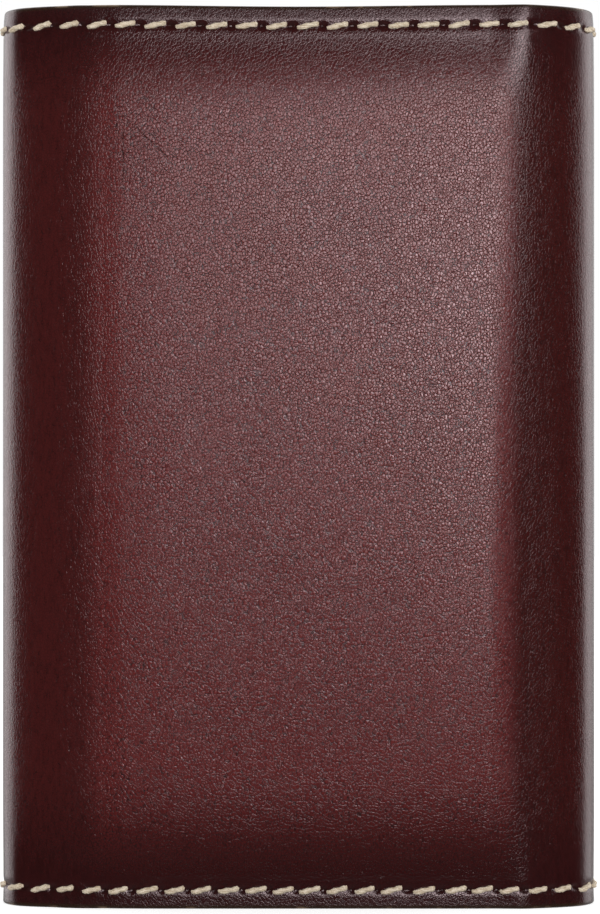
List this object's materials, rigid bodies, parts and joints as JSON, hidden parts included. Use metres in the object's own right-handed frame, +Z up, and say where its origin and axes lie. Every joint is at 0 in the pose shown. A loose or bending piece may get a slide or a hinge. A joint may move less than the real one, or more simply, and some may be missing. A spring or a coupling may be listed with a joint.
{
  "type": "key case",
  "caption": "Folding leather key case with stitched edges: an inner and an outer flap close with a press stud over a plate of swinging key hooks with spring gates.",
  "frame": {"origin": "middle of the closed case, on the surface that its lower sewn edge stands on", "axes": "+Z up along the case's height, +Y from the plain face towards the flaps, +X to the right as the plain face is seen"},
  "size_m": [0.0706, 0.0192, 0.105],
  "materials": {
    "case_leather": "burgundy pebble grain, semi-gloss",
    "lining_leather": "fine grain, matte",
    "stiffener": "bonded leather board, matte",
    "thread": "waxed cream thread",
    "nickel": "polished nickel plate",
    "spring_steel": "bright strip"
  },
  "bodies": {
    "centre": {"centre_leather": "case_leather", "centre_board": "stiffener", "centre_lining": "lining_leather", "centre_top_thread": "thread", "centre_bottom_thread": "thread", "plate_patch": "case_leather", "hook_plate": "nickel", "plate_rivet_left": "nickel", "plate_rivet_right": "nickel"},
    "outer_fold": {"outer_fold_leather": "case_leather", "outer_fold_lining": "lining_leather", "outer_fold_top_thread": "thread", "outer_fold_bottom_thread": "thread"},
    "outer_flap": {"outer_flap_leather": "case_leather", "outer_flap_board": "stiffener", "outer_flap_lining": "lining_leather", "outer_flap_thread": "thread", "slip_pocket": "lining_leather", "snap_cap": "nickel", "snap_socket": "nickel"},
    "inner_fold": {"inner_fold_leather": "case_leather", "inner_fold_lining": "lining_leather", "inner_fold_top_thread": "thread", "inner_fold_bottom_thread": "thread"},
    "inner_flap": {"inner_flap_leather": "case_leather", "inner_flap_board": "stiffener", "inner_flap_lining": "lining_leather", "inner_flap_thread": "thread", "snap_stud": "nickel", "snap_eyelet": "nickel"},
    "hook_1": {"key_hook_1": "nickel"},
    "hook_2": {"key_hook_2": "nickel"},
    "hook_3": {"key_hook_3": "nickel"},
    "hook_4": {"key_hook_4": "nickel"},
    "hook_5": {"key_hook_5": "nickel"},
    "hook_6": {"key_hook_6": "nickel"},
    "gate_1": {"hook_gate_1": "spring_steel"},
    "gate_2": {"hook_gate_2": "spring_steel"},
    "gate_3": {"hook_gate_3": "spring_steel"},
    "gate_4": {"hook_gate_4": "spring_steel"},
    "gate_5": {"hook_gate_5": "spring_steel"},
    "gate_6": {"hook_gate_6": "spring_steel"}
  },
  "joints": [
    {"name": "outer_fold_turn", "type": "hinge", "parent": "centre", "child": "outer_fold", "pos_m": [0.03307, -0.00597, 0.0525], "axis": [0, 0, -1], "range_deg": [0, 90]},
    {"name": "outer_flap_turn", "type": "hinge", "parent": "outer_fold", "child": "outer_flap", "pos_m": [0.03309, 0.0058, 0.0525], "axis": [0, 0, -1], "range_deg": [0, 90]},
    {"name": "inner_fold_turn", "type": "hinge", "parent": "centre", "child": "inner_fold", "pos_m": [-0.03324, -0.00554, 0.0525], "axis": [0, 0, 1], "range_deg": [0, 90]},
    {"name": "inner_flap_turn", "type": "hinge", "parent": "inner_fold", "child": "inner_flap", "pos_m": [-0.03374, 0.0017, 0.0525], "axis": [0, 0, 1], "range_deg": [0, 90]},
    {"name": "hook_1_swing", "type": "hinge", "parent": "centre", "child": "hook_1", "pos_m": [-0.019, -0.00385, 0.0829], "axis": [1, 0, 0], "range_deg": [-3, 5]},
    {"name": "hook_2_swing", "type": "hinge", "parent": "centre", "child": "hook_2", "pos_m": [-0.0114, -0.00385, 0.0829], "axis": [1, 0, 0], "range_deg": [-3, 5]},
    {"name": "hook_3_swing", "type": "hinge", "parent": "centre", "child": "hook_3", "pos_m": [-0.0038, -0.00385, 0.0829], "axis": [1, 0, 0], "range_deg": [-3, 5]},
    {"name": "hook_4_swing", "type": "hinge", "parent": "centre", "child": "hook_4", "pos_m": [0.0038, -0.00385, 0.0829], "axis": [1, 0, 0], "range_deg": [-3, 5]},
    {"name": "hook_5_swing", "type": "hinge", "parent": "centre", "child": "hook_5", "pos_m": [0.0114, -0.00385, 0.0829], "axis": [1, 0, 0], "range_deg": [-3, 5]},
    {"name": "hook_6_swing", "type": "hinge", "parent": "centre", "child": "hook_6", "pos_m": [0.019, -0.00385, 0.0829], "axis": [1, 0, 0], "range_deg": [-3, 5]},
    {"name": "gate_1_press", "type": "hinge", "parent": "hook_1", "child": "gate_1", "pos_m": [-0.0162, -0.00385, 0.07573], "axis": [0, 1, 0], "range_deg": [0, 12], "stiffness_Nm_per_rad": 0.01, "springref_deg": -2.86},
    {"name": "gate_2_press", "type": "hinge", "parent": "hook_2", "child": "gate_2", "pos_m": [-0.0086, -0.00385, 0.07573], "axis": [0, 1, 0], "range_deg": [0, 12], "stiffness_Nm_per_rad": 0.01, "springref_deg": -2.86},
    {"name": "gate_3_press", "type": "hinge", "parent": "hook_3", "child": "gate_3", "pos_m": [-0.001, -0.00385, 0.07573], "axis": [0, 1, 0], "range_deg": [0, 12], "stiffness_Nm_per_rad": 0.01, "springref_deg": -2.86},
    {"name": "gate_4_press", "type": "hinge", "parent": "hook_4", "child": "gate_4", "pos_m": [0.0066, -0.00385, 0.07573], "axis": [0, 1, 0], "range_deg": [0, 12], "stiffness_Nm_per_rad": 0.01, "springref_deg": -2.86},
    {"name": "gate_5_press", "type": "hinge", "parent": "hook_5", "child": "gate_5", "pos_m": [0.0142, -0.00385, 0.07573], "axis": [0, 1, 0], "range_deg": [0, 12], "stiffness_Nm_per_rad": 0.01, "springref_deg": -2.86},
    {"name": "gate_6_press", "type": "hinge", "parent": "hook_6", "child": "gate_6", "pos_m": [0.0218, -0.00385, 0.07573], "axis": [0, 1, 0], "range_deg": [0, 12], "stiffness_Nm_per_rad": 0.01, "springref_deg": -2.86}
  ],
  "couplings": [
    {"joint": "outer_flap_turn", "follows": "outer_fold_turn", "ratio": 1},
    {"joint": "inner_fold_turn", "follows": "outer_fold_turn", "ratio": 1},
    {"joint": "inner_flap_turn", "follows": "outer_fold_turn", "ratio": 1}
  ]
}
